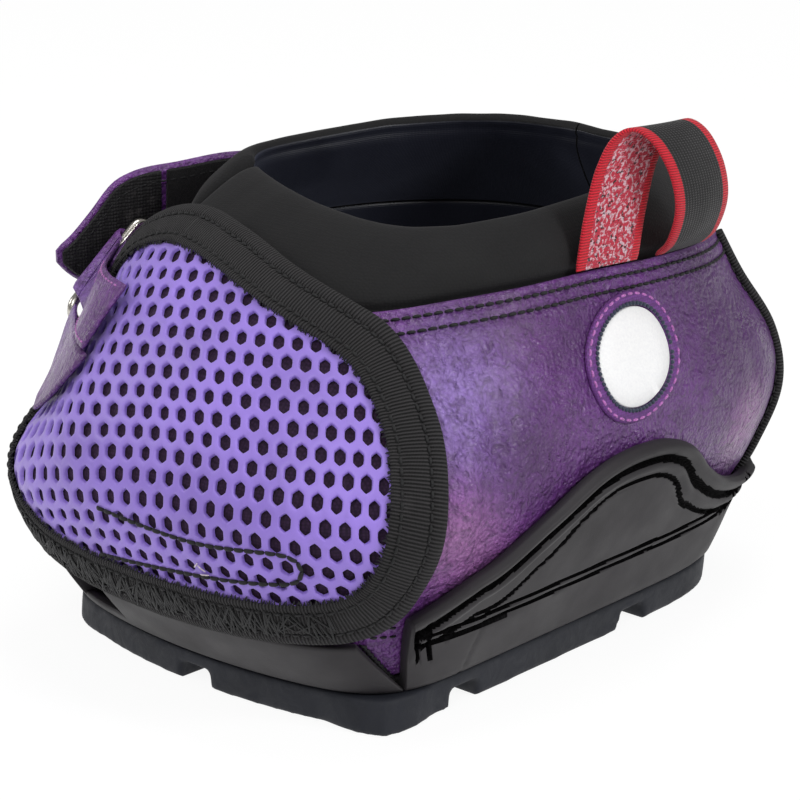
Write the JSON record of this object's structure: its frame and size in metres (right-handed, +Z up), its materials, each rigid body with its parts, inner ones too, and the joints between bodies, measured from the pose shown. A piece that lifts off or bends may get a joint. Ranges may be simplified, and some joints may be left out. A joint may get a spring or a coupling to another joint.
{
  "type": "horse hoof boot",
  "caption": "Short boot for a horse's hoof: rubber sole with side wings, leather quarters, padded collar, net front shield that folds forward, strap and ring closure, ribbon pull loop.",
  "frame": {"origin": "centre of the sole's ground face", "axes": "-Y towards the toe, +Y towards the heel, +X the right side as worn, +Z up"},
  "size_m": [0.1544, 0.1932, 0.1346],
  "materials": {
    "rubber": "moulded, satin, dark grey",
    "tread_rubber": "moulded, satin, bluish dark grey",
    "leather": "purple pebbled grain leather with a soft sheen",
    "net": "lavender perforated synthetic with hexagon holes",
    "black_tape": "black grosgrain tape",
    "black_cloth": "black woven cloth",
    "collar": "matte black foam-backed fabric",
    "foam": "dark closed-cell foam",
    "hook": "black hook and loop tape",
    "badge_white": "white embroidered disc",
    "badge_purple": "embroidered ring",
    "steel": "bright plated wire",
    "ribbon": "woven ribbon"
  },
  "bodies": {
    "boot": {"tread_sole": "tread_rubber", "sole_cup": "rubber", "insole_pad": "foam", "right_quarter": "leather", "left_quarter": "leather", "heel_panel": "black_tape", "right_lining": "black_cloth", "left_lining": "black_cloth", "wing_loop_patch": "hook", "wing_hook_patch": "hook", "right_collar": "collar", "left_collar": "collar", "badge_ring": "badge_purple", "badge_disc": "badge_white", "strap_anchor": "leather"},
    "shield": {"shield_binding": "black_tape", "shield_backing": "black_cloth", "shield_net": "net", "ring_tab": "leather", "tab_gusset": "leather"},
    "ring": {"strap_ring": "steel"},
    "strap": {"closure_strap": "leather", "strap_hook_panel": "hook", "strap_loop_panel": "hook"},
    "loop": {"pull_loop": "ribbon"}
  },
  "joints": [
    {"name": "shield_fold", "type": "hinge", "parent": "boot", "child": "shield", "pos_m": [0, -0.08608, 0.0228], "axis": [1, 0, 0], "range_deg": [0, 100]},
    {"name": "ring_swing", "type": "hinge", "parent": "shield", "child": "ring", "pos_m": [-0.06515, -0.04188, 0.08787], "axis": [-0.0393, 0.8192, 0.5721], "range_deg": [-8, 18]},
    {"name": "strap_swing", "type": "hinge", "parent": "boot", "child": "strap", "pos_m": [-0.06387, 0.02495, 0.08891], "axis": [-0.3457, 0.0568, -0.9366], "range_deg": [0, 60]},
    {"name": "loop_flop", "type": "hinge", "parent": "boot", "child": "loop", "pos_m": [0.05812, 0.02636, 0.09939], "axis": [-0.0479, 0.9968, -0.0635], "range_deg": [0, 40]}
  ]
}
